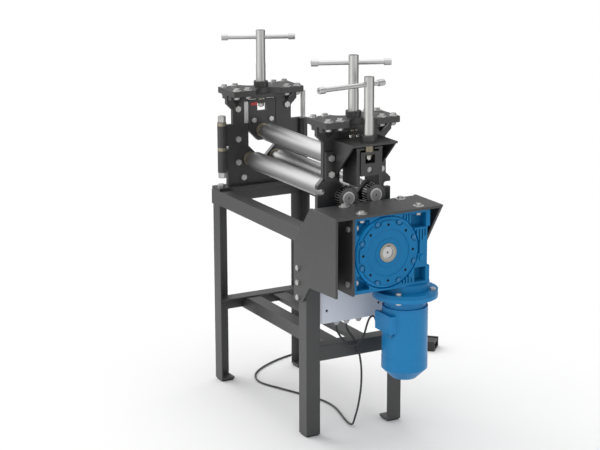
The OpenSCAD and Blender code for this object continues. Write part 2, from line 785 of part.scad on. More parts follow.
module slider(x) difference() {
    plate_x(x - plate_t / 2, plate_t) difference() {
        polygon([
            [-slider_half, slider_top], [slider_half, slider_top], [slider_half, slider_foot + slider_half - 20],
            [20, slider_foot], [-20, slider_foot], [-slider_half, slider_foot + slider_half - 20]
        ]);
        translate([-eye_half, eye_low]) square([2 * eye_half, eye_high - eye_low]);
    }
    translate([x - plate_t / 2 - cut, 0, top_z]) to_x() cylinder(r = bush_r, h = plate_t + 2 * cut, $fn = 64);
    translate([x, 0, eye_high - cut]) cylinder(r = stub_r + run, h = 20, $fn = 32);
}

module far_slider() color("#3f4245") place() difference() {
    slider(far_x);
    for (s = [-1, 1])
        translate([far_face - plate_t - cut, s * slider_bolt_y, slider_bolt_z])
            to_x() cylinder(r = 6 + hole_play, h = plate_t + 2 * cut, $fn = 24);
}

module slider_bolts() color("#a9abad") place() {
    for (s = [-1, 1]) translate([far_face, s * slider_bolt_y, slider_bolt_z]) to_x() bolt(12, plate_t, false);
}

// Leaf-shaped pointer for the scale
module far_pointer() color("#b03a3a") place() plate_x(far_face, 3) polygon([
    [-24, slider_top - 23], [-50, slider_top - 21], [-57, slider_top - 15],
    [-50, slider_top - 9], [-24, slider_top - 7]
]);

module near_slider() color("#3f4245") place() slider(near_x);

module far_bush() color("#9a8f6a") place() translate([0, 0, top_z])
    bush(far_face + bush_flange_t, far_face - plate_t - 2);

module near_bush() color("#9a8f6a") place() translate([0, 0, top_z])
    bush(near_face - bush_flange_t, near_face + plate_t);

module tail_slider() color("#3f4245") place() difference() {
    translate([tail_x - 12, -40, top_z - 22]) cube([24, 80, tail_slide_top - top_z + 22]);
    translate([tail_x - 13, -21, top_z + 25]) cube([26, 42, tail_slide_top - top_z - 37]);
    translate([tail_x - 13, 0, top_z]) to_x() cylinder(r = tail_d / 2 + run, h = 26, $fn = 48);
    translate([tail_x, 0, tail_slide_top - 13]) cylinder(r = stub_r + run, h = 14, $fn = 32);
}

// Screws and tommy bars

// A screw whose thread rests on a slider of height z0 and web thickness web
module screw(x, z0, web, z1, z2, turn) translate([x, 0, 0]) difference() {
    union() {
        translate([0, 0, z0 + gap]) cylinder(d = screw_d, h = z1 - z0 - gap, $fn = 64);
        translate([0, 0, z1]) cylinder(d = stem_d, h = z2 - z1, $fn = 64);
        translate([0, 0, z0 - web - gap - ring_h - nut_h - 4])
            cylinder(d = stub_d, h = web + 2 * gap + ring_h + nut_h + 4, $fn = 32);
        translate([0, 0, z0 - web - gap - ring_h]) cylinder(d = 2.1 * stub_d, h = ring_h, $fn = 48);
        translate([0, 0, z0 - web - gap - ring_h - nut_h]) cylinder(d = 1.85 * stub_d, h = nut_h, $fn = 6);
    }
    rotate([0, 0, turn]) translate([-stem_d, 0, z2 - bar_drop]) to_x()
        cylinder(d = bar_d + 2 * run, h = 2 * stem_d, $fn = 48);
}

module far_screw() color("#a9abad") place()
    screw(far_x, slider_top, slider_top - eye_high, boss_z + thread_show, screw_top, far_turn);

module near_screw() color("#a9abad") place()
    screw(near_x, slider_top, slider_top - eye_high, boss_z + thread_show, screw_top, near_turn);

module tail_screw() color("#a9abad") place()
    screw(tail_x, tail_slide_top, 12, tail_top + thread_show, tail_screw_top, tail_turn);

module bar(x, z, turn, slide) translate([x, 0, z]) rotate([0, 0, turn]) translate([slide, 0, 0])
    difference() {
    union() {
        rod_x(-bar_len / 2 + 2, bar_len / 2 - 2, bar_d);
        rod_x(-bar_len / 2, -bar_len / 2 + cap_len, cap_d, 32);
        rod_x(bar_len / 2 - cap_len, bar_len / 2, cap_d, 32);
    }
    for (s = [-1, 1]) translate([s * (bar_len / 2 - 3), 0, 0]) to_x()
        cylinder(d = 9, h = 8, center = true, $fn = 6);
}

module far_bar() color("#a9abad") place() bar(far_x, screw_top - bar_drop, far_turn, main_slide);
module near_bar() color("#a9abad") place() bar(near_x, screw_top - bar_drop, near_turn, main_slide);
module tail_bar() color("#a9abad") place() bar(tail_x, tail_screw_top - bar_drop, tail_turn, tail_slide);

// Drive bracket

module bracket_side() color("#3f4245") place() difference() {
    plate_y(-side_y - bracket_t, bracket_t) polygon([
        [frame_len / 2 - 82, leg_foot_z], [frame_len / 2 - 82, box_z1 - 149], [gear_x1 - 5, box_z1 + bracket_t],
        [end_x, box_z1 + bracket_t], [end_x, box_z0 + 1], [gear_x1 - 11, box_z0 - 7],
        [frame_len / 2 - 12, leg_foot_z + 10]
    ]);
    leg_holes(-side_y - bracket_t - cut, -side_y + cut);
}

module bracket_inner() color("#3f4245") place() difference() {
    translate([gear_x1 + 5, box_y0 - bracket_t, box_z0])
        cube([end_x - gear_x1 - 5, bracket_t, box_z1 - box_z0]);
    box_side_bolts() cylinder(r = 6 + hole_play, h = 60, center = true, $fn = 24);
}

module bracket_top() color("#3f4245") place() difference() {
    translate([gear_x1 + 5, -side_y, box_z1])
        cube([end_x - gear_x1 - 5, side_y + back_y - bracket_t, bracket_t]);
    box_top_bolts() cylinder(r = 6 + hole_play, h = 60, center = true, $fn = 24);
}

module bracket_back() color("#3f4245") place() difference() {
    union() {
        plate_y(back_y - bracket_t, bracket_t) polygon([
            [frame_len / 2 - 82, leg_foot_z], [frame_len / 2 - 82, box_z1 - 149], [gear_x1 - 5, box_z1 + bracket_t],
            [end_x, box_z1 + bracket_t], [mid_box - 9.5, box_z1 - 145], [frame_len / 2 - 12, leg_foot_z + 5]
        ]);
        translate([frame_len / 2 - 60, side_y, leg_foot_z]) cube([60, back_y - bracket_t - side_y, 160]);
    }
    leg_holes(side_y - cut, back_y + cut);
}

module box_top_bolts() {
    for (sx = [-1, 1], sy = [-1, 1])
        translate([mid_box + sx * box_bolt, (box_y0 + box_y1) / 2 + sy * 123, box_z1 + bracket_t]) children();
}

module box_side_bolts() {
    for (sx = [-1, 1], sz = [-1, 1])
        translate([mid_box + sx * box_bolt, box_y0 - bracket_t, drive_z + sz * 105]) rotate([90, 0, 0])
            children();
}

module cover_bolts() {
    for (i = [0:7])
        translate([box_x1 - face_t, drive_y, drive_z])
            rotate([22.5 + 45 * i, 0, 0]) translate([0, 0, face_r - 1.5]) to_x() children();
}

module motor_bolts() {
    for (a = [45:90:315])
        translate([mid_box, motor_y, motor_top - 2 * flange_t]) rotate([0, 0, a])
            translate([flange_bolt, 0, 0])
            rotate([180, 0, 0]) children();
}

module drive_bolts() color("#a9abad") place() {
    for (z = leg_bolt_z) {
        translate([leg_bolt_x, -side_y - bracket_t, z]) rotate([90, 0, 0]) bolt(12, bracket_t + angle_t);
        translate([leg_bolt_x, back_y, z]) rotate([-90, 0, 0]) bolt(12, back_y - side_y + angle_t);
    }
    box_top_bolts() washer_bolt(12, 42, bracket_t + corner_wall);
    box_side_bolts() bolt(12, bracket_t + side_wall);
    cover_bolts() bolt(10, 16, false);
    motor_bolts() bolt(12, 2 * flange_t);
}

// Gearbox

// Hollow behind each corner of a face that looks along +X and lies at x
module corner_pockets(x, depth) {
    for (sz = [-1, 1]) {
        z0 = sz > 0 ? box_z1 - corner_wall - pocket_h : box_z0 + corner_wall;
        translate([x, box_y0 + side_wall, z0]) cube([depth, 55, pocket_h]);
        translate([x, box_y1 - side_wall - (sz > 0 ? 68 : 50), z0]) cube([depth, sz > 0 ? 68 : 50, pocket_h]);
    }
}

module gearbox_case() color("#2f7399") place() difference() {
    union() {
        difference() {
            translate([box_x0 + 8, box_y0, box_z0]) cube([box_x - 16, box_y1 - box_y0, box_z1 - box_z0]);
            translate([0, drive_y, drive_z]) {
                rod_x(box_x1 - 26, box_x1, 2 * rim_r + 14, 96);
                for (p = front_slots)
                    translate([box_x1 - 20, p[0] - 2.5, p[1]]) cube([20, 5, p[2] - p[1]]);
            }
            corner_pockets(box_x0 + 8 - cut, 40 + cut);
            corner_pockets(box_x1 - 48, 40 + cut);
            translate([box_x0, box_y1 - 11, drive_z - 74]) cube([box_x, 12, 153]);
        }
        translate([0, drive_y, drive_z]) rod_x(box_x0, box_x1 - rim_t, 2 * rim_r, 96);
        translate([mid_box, motor_y, motor_top]) cylinder(r = neck_r, h = 31, $fn = 64);
        translate([mid_box, motor_y, motor_top - flange_t]) cylinder(d = flange_d, h = flange_t, $fn = 96);
        translate([box_x1 - 8, box_y1 - 33, box_z0 + 105]) to_x() cylinder(d = 27, h = 6, $fn = 32);
    }
    translate([0, drive_y, drive_z]) rod_x(box_x0 - cut, box_x1 + cut, sleeve_d + 2 * run, 64);
    box_top_bolts() translate([0, 0, -bracket_t - 20]) cylinder(r = 6 + hole_play, h = 24, $fn = 24);
    box_side_bolts() translate([0, 0, -bracket_t - 20]) cylinder(r = 6 + hole_play, h = 24, $fn = 24);
    cover_bolts() translate([0, 0, -18]) cylinder(r = 5 + hole_play, h = 14, $fn = 24);
    motor_bolts() translate([0, 0, -2 * flange_t - cut])
        cylinder(r = 6 + hole_play, h = 2 * flange_t + cut, $fn = 24);
}

// The cover: a rim with a raised face, which eight bolts bite into and eight tapped holes sit in
module gearbox_cover() color("#2f7399") place() difference() {
    translate([0, drive_y, drive_z]) difference() {
        union() {
            rod_x(box_x1 - rim_t, box_x1 - face_t, 2 * rim_r - 6, 96);
            difference() {
                rod_x(box_x1 - face_t - cut, box_x1, 2 * face_r, 96);
                for (i = [0:7])
                    rotate([22.5 + 45 * i, 0, 0])
                        translate([0, 0, face_r + 7]) rod_x(box_x1 - face_t, box_x1 + cut, 42, 48);
            }
        }
        difference() {
            rod_x(box_x1 - 2.5, box_x1 + cut, 182, 96);
            rod_x(box_x1 - 3, box_x1 - 1, 104, 96);
        }
        rod_x(box_x1 - rim_t - cut, box_x1 + cut, sleeve_d + 2 * run, 64);
        for (i = [0:7])
            rotate([45 * i, 0, 0]) translate([0, 0, 107.5]) rod_x(box_x1 - 4, box_x1 + cut, 10, 24);
    }
    cover_bolts() translate([0, 0, -7]) cylinder(r = 5 + hole_play, h = 8, $fn = 24);
}

module gearbox_sleeve() color("#a9abad") place() translate([0, drive_y, drive_z]) difference() {
    rod_x(box_x0 + 1, box_x1 + 1, sleeve_d, 64);
    rod_x(box_x0 - cut, box_x1 + 2, sleeve_bore, 48);
    translate([box_x0, -7, sleeve_bore / 2 - 3]) cube([box_x + 2, 14, 7]);
}

// Motor

module motor_body() color("#2f7399") place() translate([mid_box, motor_y, 0]) {
    z0 = motor_top - 2 * flange_t;
    z1 = z0 - motor_len;
    difference() {
        union() {
            translate([0, 0, z0]) cylinder(d = flange_d, h = flange_t, $fn = 96);
            translate([0, 0, z0 - 38]) cylinder(r = motor_d / 2 - 8, h = 38 + flange_t / 2, $fn = 96);
            translate([0, 0, z1 + 40]) cylinder(d = motor_d, h = motor_len - 76.5, $fn = 96);
            translate([0, 0, z1 + 40]) cylinder(d = motor_d + cowl_step, h = 47, $fn = 96);
            translate([0, 0, z1]) cylinder(d1 = 96, d2 = motor_d + cowl_step, h = 40, $fn = 96);
        }
        for (a = [45:90:315]) rotate([0, 0, a]) translate([flange_bolt, 0, z0 - cut])
            cylinder(r = 6 + hole_play, h = flange_t + 2 * cut, $fn = 24);
    }
}

module terminal_box() color("#2f7399") place() difference() {
    union() {
        translate([term_x, term_y, term_z]) cube([110, 12, 71]);
        translate([term_x, term_y, term_z]) cube([107, 60, 68]);
    }
    translate([mid_box, motor_y, term_z - 36]) cylinder(r = motor_d / 2 + 0.02, h = 140, $fn = 96);
}

// Controls

module control_box() color("#b9bfc6") place() difference() {
    translate([near_face + 15 - ctrl_d, -ctrl_half, ctrl_z])
        cube([ctrl_d, 2 * ctrl_half, frame_h - angle_t - ctrl_z]);
    for (y = [-116, 116]) translate([near_face + 12, y, ctrl_z + 50]) to_x()
        cylinder(d = 12, h = 4, $fn = 24);
}

module gland(d, h) union() {
    cylinder(d = d, h = 0.45 * h, $fn = 6);
    translate([0, 0, 0.45 * h]) cylinder(d1 = 0.92 * d, d2 = 0.55 * d, h = 0.55 * h, $fn = 32);
}

module cable_glands() color("#1c1c1c") place() {
    for (y = [-65, -21, 33]) translate([gland_x, y, ctrl_z]) rotate([180, 0, 0]) gland(gland_d, 16);
    translate([term_x, term_y + 18, term_z + 32]) rotate([0, -90, 0]) gland(30, term_x - term_lead_x);
    translate([term_x + 95.5, term_y + 10.8, term_z]) rotate([180, 0, 0]) gland(20, 16);
}

// Cables

function unit(v) = v / norm(v);
function at(p, i) = p[max(0, min(i, len(p) - 1))];

// A smooth curve through the points p, with n steps between each pair
function smooth(p, n) = [
    for (i = [0:len(p) - 2], k = [0:n - 1])
        let (t = k / n, a = at(p, i - 1), b = p[i], c = p[i + 1], d = at(p, i + 2))
        0.5 * (2 * b + (c - a) * t + (2 * a - 5 * b + 4 * c - d) * t * t + (3 * b - a - 3 * c + d) * t * t * t),
    p[len(p) - 1]
];

function tangent(p, i) = unit(at(p, i + 1) - at(p, i - 1));
function lean(u, t) = unit(u - (u * t) * t);
function sides(p, i, u) = i >= len(p) ? [] : let (v = lean(u, tangent(p, i))) concat([v], sides(p, i + 1, v));

module tube(p, d, start) {
    n = 8;
    u = sides(p, 0, start);
    pts = [for (i = [0:len(p) - 1], k = [0:n - 1])
        let (w = cross(tangent(p, i), u[i]), a = 360 * k / n)
        p[i] + d / 2 * (cos(a) * u[i] + sin(a) * w)];
    walls = [for (i = [0:len(p) - 2], k = [0:n - 1])
        let (a = i * n + k, b = i * n + (k + 1) % n) for (f = [[a, a + n, b], [b, a + n, b + n]]) f];
    ends = [[for (k = [0:n - 1]) k], [for (k = [n - 1:-1:0]) (len(p) - 1) * n + k]];
    polyhedron(pts, concat(walls, ends));
}

module motor_lead() color("#1c1c1c") place() tube(smooth(motor_route, 2), cable_d, [0, 1, 0]);
module pedal_lead() color("#1c1c1c") place() tube(smooth(pedal_route, 2), cable_d, [0, 1, 0]);

// Foot pedal

module pedal_base() color("#26282a") place() translate(pedal_at) rotate([0, 0, pedal_turn]) difference() {
    translate([-pedal_len / 2, -pedal_w / 2, 0]) cube([pedal_len, pedal_w, 44]);
    translate([-pedal_len / 2 + 30, -pedal_w / 2 + 8, 8]) cube([pedal_len, pedal_w - 16, 40]);
    translate([-pedal_len / 2 + 40, -pedal_w, 34]) rotate([-90, 0, 0])
        cylinder(r = 4 + run, h = 2 * pedal_w, $fn = 24);
}

module pedal_treadle() color("#26282a") place() translate(pedal_at) rotate([0, 0, pedal_turn]) union() {
    translate([-pedal_len / 2 + 34, -pedal_w / 2 + 10, 30]) cube([pedal_len - 36, pedal_w - 20, 10]);
    translate([-pedal_len / 2 + 40, -pedal_w / 2, 34]) rotate([-90, 0, 0])
        cylinder(r = 4, h = pedal_w, $fn = 24);
}

leg_far_front();
leg_far_rear();
leg_near_front();
leg_near_rear();
foot_pads();
top_rail_front();
top_rail_rear();
top_rail_far();
top_rail_near();
low_cross_rails();
low_long_rails();
far_lower_plate();
hinge_pin();
bronze_bushes();
near_plate();
near_head_plate();
housing_bolts();
tail_bracket();
idler_pin();
bracket_side();
bracket_inner();
bracket_top();
bracket_back();
drive_bolts();
gearbox_case();
gearbox_cover();
motor_body();
terminal_box();
control_box();
cable_glands();
motor_lead();
pedal_lead();
pedal_base();
pedal_treadle();
gate_frame();
gate_head_plate();
gate_bolts();
gate_scale();
latch_pin();
far_slider();
slider_bolts();
far_pointer();
far_bush();
near_slider();
near_bush();
tail_slider();
far_screw();
near_screw();
tail_screw();
far_bar();
near_bar();
tail_bar();
top_roller();
front_roller();
front_gear();
rear_roller();
rear_gear();
idler_gear();
drive_shaft();
gearbox_sleeve();
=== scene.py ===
import json
import math
import bpy
from mathutils import Matrix, Vector


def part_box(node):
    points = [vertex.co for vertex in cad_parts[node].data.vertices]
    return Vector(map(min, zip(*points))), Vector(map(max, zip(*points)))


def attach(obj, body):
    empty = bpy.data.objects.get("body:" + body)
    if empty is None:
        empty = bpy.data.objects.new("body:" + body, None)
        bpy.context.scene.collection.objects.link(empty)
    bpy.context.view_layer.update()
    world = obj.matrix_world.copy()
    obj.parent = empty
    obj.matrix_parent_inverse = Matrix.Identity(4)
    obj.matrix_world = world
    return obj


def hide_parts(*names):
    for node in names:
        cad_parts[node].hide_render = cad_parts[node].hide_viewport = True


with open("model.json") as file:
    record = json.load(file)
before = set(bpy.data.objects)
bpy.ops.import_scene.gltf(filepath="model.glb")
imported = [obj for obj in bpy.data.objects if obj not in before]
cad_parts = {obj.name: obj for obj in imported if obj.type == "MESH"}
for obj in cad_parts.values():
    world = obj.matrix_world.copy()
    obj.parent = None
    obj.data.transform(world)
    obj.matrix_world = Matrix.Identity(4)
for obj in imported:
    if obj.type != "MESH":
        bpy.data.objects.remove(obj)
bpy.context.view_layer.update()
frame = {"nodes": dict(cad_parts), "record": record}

# The camera stands in front of the gearbox end, a little above the rollers, as the
# photographer did. Places on the machine are given in millimetres from the middle of the
# stand's floor, which the four rubber feet mark, and place() turns them into the frame's.
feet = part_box("foot_pads")
stand_middle = Vector(((feet[0][0] + feet[1][0]) / 2, (feet[0][1] + feet[1][1]) / 2, 0))


def place(x, y, z):
    return stand_middle + Vector((x, y, z)) / 1000


azimuth, elevation, roll = math.radians(61.357), math.radians(14.452), math.radians(-0.15)
focal_length_px, photo_width_px = 1755.3, 600
back = Vector((math.sin(azimuth) * math.cos(elevation), -math.cos(azimuth) * math.cos(elevation),
               math.sin(elevation)))
right = Vector((math.cos(azimuth), math.sin(azimuth), 0))
up = back.cross(right)
right, up = right * math.cos(roll) + up * math.sin(roll), up * math.cos(roll) - right * math.sin(roll)
camera_data = bpy.data.cameras.new("camera")
camera_data.sensor_width = 36
camera_data.lens = focal_length_px / photo_width_px * camera_data.sensor_width
camera = bpy.data.objects.new("camera", camera_data)
bpy.context.collection.objects.link(camera)
spot = place(5982.4, -3288.6, 2495.1)
camera.matrix_world = Matrix((
    (right.x, up.x, back.x, spot.x),
    (right.y, up.y, back.y, spot.y),
    (right.z, up.z, back.z, spot.z),
    (0, 0, 0, 1)))
bpy.context.scene.camera = camera

# The finishes are built from the real ones' own causes: paint with orange peel and dust,
# turned steel with tool marks, castings with a grainy skin. This is the brush they share.


class Tone:
    """One value in a finish, so that shader maths reads as arithmetic."""

    def __init__(self, finish, socket):
        self.finish, self.socket = finish, socket

    def math(self, how, first, second):
        return self.finish.node("ShaderNodeMath", {"operation": how}, {0: first, 1: second})

    def __add__(self, other):
        return self.math("ADD", self, other)

    def __mul__(self, other):
        return self.math("MULTIPLY", self, other)

    def __sub__(self, other):
        return self.math("SUBTRACT", self, other)

    def __rsub__(self, other):
        return self.math("SUBTRACT", other, self)

    __radd__ = __add__
    __rmul__ = __mul__

    def above(self, low, high):
        """0 below low, 1 above high, smooth between."""
        return self.finish.node("ShaderNodeMapRange", {"interpolation_type": "SMOOTHSTEP"},
                                {"Value": self, "From Min": low, "From Max": high})


class Finish:
    """A finish for one kind of surface, with its shader and the nodes behind it."""

    def __init__(self, name, **fixed):
        self.material = bpy.data.materials.new(name)
        self.material.use_nodes = True
        self.tree = self.material.node_tree
        self.shader = self.tree.nodes["Principled BSDF"]
        for key, value in fixed.items():
            self.shader.inputs[key.replace("_", " ")].default_value = value
        self.where = self.node("ShaderNodeTexCoord", {}, {}, "Object")

    def node(self, kind, settings, inputs, out=0):
        n = self.tree.nodes.new(kind)
        for key, value in settings.items():
            setattr(n, key, value)
        for key, value in inputs.items():
            if isinstance(value, Tone):
                self.tree.links.new(value.socket, n.inputs[key])
            else:
                n.inputs[key].default_value = value
        return Tone(self, n.outputs[out])

    def set(self, key, value):
        if isinstance(value, Tone):
            self.tree.links.new(value.socket, self.shader.inputs[key])
        else:
            self.shader.inputs[key].default_value = value

    def noise(self, scale, detail=3.0, rough=0.5, stretch=None):
        where = self.where
        if stretch:
            where = self.node("ShaderNodeMapping", {}, {"Vector": where, "Scale": stretch})
        return self.node("ShaderNodeTexNoise", {}, {"Vector": where, "Scale": scale, "Detail": detail,
                                                    "Roughness": rough})

    def height(self):
        return self.node("ShaderNodeSeparateXYZ", {}, {0: self.where}, "Z")

    def past(self, start, end):
        """0 before start and 1 past end, in millimetres along the rollers from the stand's middle."""
        along = self.node("ShaderNodeSeparateXYZ", {}, {0: self.where}, "X")
        return along.above(place(start, 0, 0).x, place(end, 0, 0).x)

    def between(self, low, high):
        """1 at the heights between two, in millimetres above the floor."""
        level = self.height()
        return level.above(low / 1000 - 0.0004, low / 1000) - level.above(high / 1000, high / 1000 + 0.0004)

    def from_axis(self, centre):
        """Distance in metres from an axis through the centre that runs as the rollers do."""
        shift = Vector((0, -centre.y, -centre.z))
        there = self.node("ShaderNodeMapping", {}, {"Vector": self.where, "Location": shift,
                                                    "Scale": (0, 1, 1)})
        return self.node("ShaderNodeVectorMath", {"operation": "LENGTH"}, {0: there}, "Value")

    def mix(self, amount, first, second):
        n = self.tree.nodes.new("ShaderNodeMix")
        n.data_type = "RGBA"
        for key, value in ((0, amount), (6, first), (7, second)):
            if isinstance(value, Tone):
                self.tree.links.new(value.socket, n.inputs[key])
            else:
                n.inputs[key].default_value = value if key == 0 else (*value, 1)
        return Tone(self, n.outputs[2])

    def relief(self, height, depth, strength):
        self.set("Normal", self.node("ShaderNodeBump", {}, {"Height": height, "Distance": depth,
                                                            "Strength": strength}))


def grey(level):
    return level, level, level


def wear_colour(f, base, worn, dusty, patch=7.0):
    """Paint that is a little uneven, with fine pale dust and faint handling marks."""
    clouds = f.noise(patch, 4, 0.55)
    specks = f.noise(420, 2, 0.6).above(0.70, 0.80)
    return f.mix(specks * 0.3, f.mix(clouds.above(0.35, 0.7) * 0.5, base, worn), dusty)


# The stand: legs, rails and strip of rolled steel angle, welded and then sprayed with a
# satin anthracite paint. The spray leaves orange peel, and the rolled surface shows
# through it as slow waves.
anthracite = Finish("anthracite_paint", Metallic=0.0, Coat_Weight=0.10, Coat_Roughness=0.3)
anthracite.set("Base Color", wear_colour(anthracite, grey(0.038), grey(0.045), grey(0.10)))
anthracite.set("Roughness", anthracite.noise(30, 3) * 0.12 + 0.36)
anthracite.relief(anthracite.noise(900, 2) * 0.6 + anthracite.noise(90, 2), 0.00012, 0.45)


def dressed(name, finish, edge):
    """The node's own shape with its sharp edges broken by edge millimetres, as a file or a weld leaves them."""
    piece = bpy.data.objects.new("finished_" + name, frame["nodes"][name].data.copy())
    bpy.context.collection.objects.link(piece)
    piece.data.materials.clear()
    piece.data.materials.append(finish.material)
    bpy.ops.object.select_all(action="DESELECT")
    piece.select_set(True)
    bpy.context.view_layer.objects.active = piece
    bpy.ops.object.mode_set(mode="EDIT")
    bpy.ops.mesh.select_all(action="SELECT")
    bpy.ops.mesh.remove_doubles(threshold=0.00002)
    bpy.ops.mesh.dissolve_limited(angle_limit=math.radians(0.3))
    bpy.ops.object.mode_set(mode="OBJECT")
    bevel = piece.modifiers.new("broken_edges", "BEVEL")
    bevel.width = edge / 1000
    bevel.segments = 2
    bevel.limit_method = "ANGLE"
    bevel.angle_limit = math.radians(38)
    bpy.ops.object.modifier_apply(modifier=bevel.name)
    bpy.ops.object.shade_smooth_by_angle(angle=math.radians(28))
    flat = piece.modifiers.new("flat_faces", "WEIGHTED_NORMAL")
    flat.keep_sharp = True
    bpy.ops.object.modifier_apply(modifier=flat.name)
    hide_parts(name)
    for body, members in frame["record"]["behaviour"]["bodies"].items():
        if name in members:
            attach(piece, body)


for name in ("leg_far_front", "leg_far_rear", "leg_near_front", "leg_near_rear", "top_rail_front",
             "top_rail_rear", "top_rail_far", "top_rail_near", "low_cross_rails", "low_long_rails"):
    dressed(name, anthracite, 1.2)

# The housings: flame-cut plates with welded base flanges, head bars and gussets, painted
# with the stand's paint, though on the plates' ground faces it is a little glossier and its colour is darkened
# as painted shade.
# The gate is the upper half of the far housing.
plate_paint_with_painted_shade = Finish("plate_paint_with_painted_shade", Metallic=0.0, Coat_Weight=0.15, Coat_Roughness=0.25)
# The plates' base colour is darker than the stand's: painted shade.
plate_paint_with_painted_shade.set("Base Color", wear_colour(plate_paint_with_painted_shade, grey(0.022), grey(0.029), grey(0.08)))
plate_paint_with_painted_shade.set("Roughness", plate_paint_with_painted_shade.noise(30, 3) * 0.12 + 0.34)
plate_paint_with_painted_shade.relief(plate_paint_with_painted_shade.noise(900, 2) * 0.6 + plate_paint_with_painted_shade.noise(90, 2), 0.0001, 0.4)
for name in ("far_lower_plate", "near_plate", "gate_frame", "near_head_plate", "gate_head_plate",
             "tail_bracket", "far_slider", "near_slider", "tail_slider"):
    dressed(name, plate_paint_with_painted_shade, 1.0)

# The drive bracket: folded and bolted plates round the gearbox, in the stand's paint over a
# smoother cold-rolled sheet; its colour is made a shade darker here as painted shade.
sheet_paint_with_painted_shade = Finish("sheet_paint_with_painted_shade", Metallic=0.0, Coat_Weight=0.10, Coat_Roughness=0.3)
# The base colour is darker than the stand's: painted shade.
sheet_paint_with_painted_shade.set("Base Color", wear_colour(sheet_paint_with_painted_shade, grey(0.031), grey(0.037), grey(0.09)))
sheet_paint_with_painted_shade.set("Roughness", sheet_paint_with_painted_shade.noise(30, 3) * 0.10 + 0.38)
sheet_paint_with_painted_shade.relief(sheet_paint_with_painted_shade.noise(900, 2) * 0.6 + sheet_paint_with_painted_shade.noise(60, 2), 0.00010, 0.35)
for name in ("bracket_side", "bracket_inner", "bracket_top", "bracket_back"):
    dressed(name, sheet_paint_with_painted_shade, 1.0)

# The rubber pads under the feet: black moulded rubber, dusty at the rim.
rubber = Finish("black_rubber", Metallic=0.0, Specular_IOR_Level=0.3)
rubber.set("Base Color", wear_colour(rubber, grey(0.014), grey(0.022), grey(0.06), 20))
rubber.set("Roughness", rubber.noise(60, 3) * 0.15 + 0.62)
rubber.relief(rubber.noise(1500, 2), 0.00008, 0.5)
dressed("foot_pads", rubber, 1.0)


def turned(label, bright, dull, stretch, rough, depth=0.00003):
    """Bright steel from the lathe, with fine rings round its axis and a thin film of oil."""
    steel = Finish("turned_steel_" + label, Metallic=1.0)
    rings = steel.noise(1.0, 2, 0.6, stretch)
    film = steel.noise(6, 3).above(0.3, 0.7)
    steel.set("Roughness", rings * 0.06 + film * 0.05 + rough)
    steel.relief(rings, depth, 0.5)
    return steel, steel.mix(film * 0.6, bright, dull)


# The three rollers: solid bars of bright steel, turned down to journals at both ends and
# ground on the barrel. Grinding leaves fine rings round the axis.
rollers, colour = turned("rollers", grey(0.36), grey(0.35), (300, 2, 2), 0.38, 0.00001)
rollers.set("Base Color", colour)
for name in ("top_roller", "front_roller", "rear_roller"):
    dressed(name, rollers, 0.6)

# The feed screws: turned steel, lightly oiled, with a plain upper end. A bronze thrust
# washer sits on each side of the web that the screw carries.
for name, lower_washer, upper_washer in (("far_screw", (1172.7, 1176.7), (1190, 1195)),
                                         ("near_screw", (1172.7, 1176.7), (1190, 1195)),
                                         ("tail_screw", (1114.7, 1118.7), (1131, 1160))):
    steel, colour = turned(name, (0.48, 0.48, 0.47), (0.43, 0.43, 0.42), (4, 4, 300), 0.24)
    washers = steel.between(*lower_washer) + steel.between(*upper_washer)
    steel.set("Base Color", steel.mix(washers, colour, (0.22, 0.195, 0.145)))
    dressed(name, steel, 0.6)

# The tommy bars: drawn round bar with a turned cap screwed on each end.
bars, colour = turned("bars", grey(0.50), grey(0.44), (60, 60, 60), 0.27)
bars.set("Base Color", colour)
for name in ("far_bar", "near_bar", "tail_bar"):
    dressed(name, bars, 1.2)

# The gear train: hobbed steel gears, blackened on the web, with painted shade darkening the
# gaps between the teeth and a painted highlight on the tips of the teeth, and the hub's face
# turned bright. The drive gear is cut on the shaft that comes out of the gearbox.
tooth_height, hub_stands_out = 0.0064, 0.003
for name, centre, hub, root in (("front_gear", (0, -60, 948), 0.025, 0.038),
                                ("rear_gear", (0, 60, 948), 0.025, 0.038),
                                ("idler_gear", (0, 0, 873.06), 0.022, 0.050)):
    steel, colour = turned(name, grey(0.74), grey(0.68), (60, 60, 60), 0.30)
    radius = steel.from_axis(place(*centre))
    blackened = radius.above(hub + 0.0002, hub + 0.0012)
    face = (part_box(name)[1][0] - hub_stands_out - stand_middle.x) * 1000
    tip = root + tooth_height
    between_teeth = radius.above(root, root + 0.0004) * (1.0 - radius.above(tip - 0.0004, tip + 0.0002))
    # The gaps between the teeth are painted dark as shade, and the tips pale as highlights.
    painted_shade_in_gaps = between_teeth * (1.0 - steel.past(face - 0.9, face - 0.5))
    painted_highlight_on_tips = radius.above(tip, tip + 0.0004)
    web = steel.mix(painted_highlight_on_tips, steel.mix(painted_shade_in_gaps, grey(0.13), grey(0.02)), grey(0.30))
    steel.set("Base Color", steel.mix(blackened, colour, web))
    dressed(name, steel, 0.4)
shaft, colour = turned("shaft", grey(0.46), grey(0.40), (60, 60, 60), 0.30)
shaft.set("Base Color", colour)
for name in ("drive_shaft", "idler_pin"):
    dressed(name, shaft, 0.4)

# The gearbox's hollow output shaft: a ground ring in a brownish grey, painted pale grey
# within 24.6 mm of the axis round the mouth of the bore.
output_axis = place(0, 5.7, 771.22)
sleeve, colour = turned("sleeve", (0.29, 0.275, 0.235), (0.24, 0.225, 0.195), (60, 60, 60), 0.34)
# Pale grey within 24.6 mm of the axis, brownish grey outside it.
outside_pale_disc = sleeve.from_axis(output_axis).above(0.0246, 0.0250)
sleeve.set("Base Color", sleeve.mix(outside_pale_disc, grey(0.46), colour))
dressed("gearbox_sleeve", sleeve, 0.6)

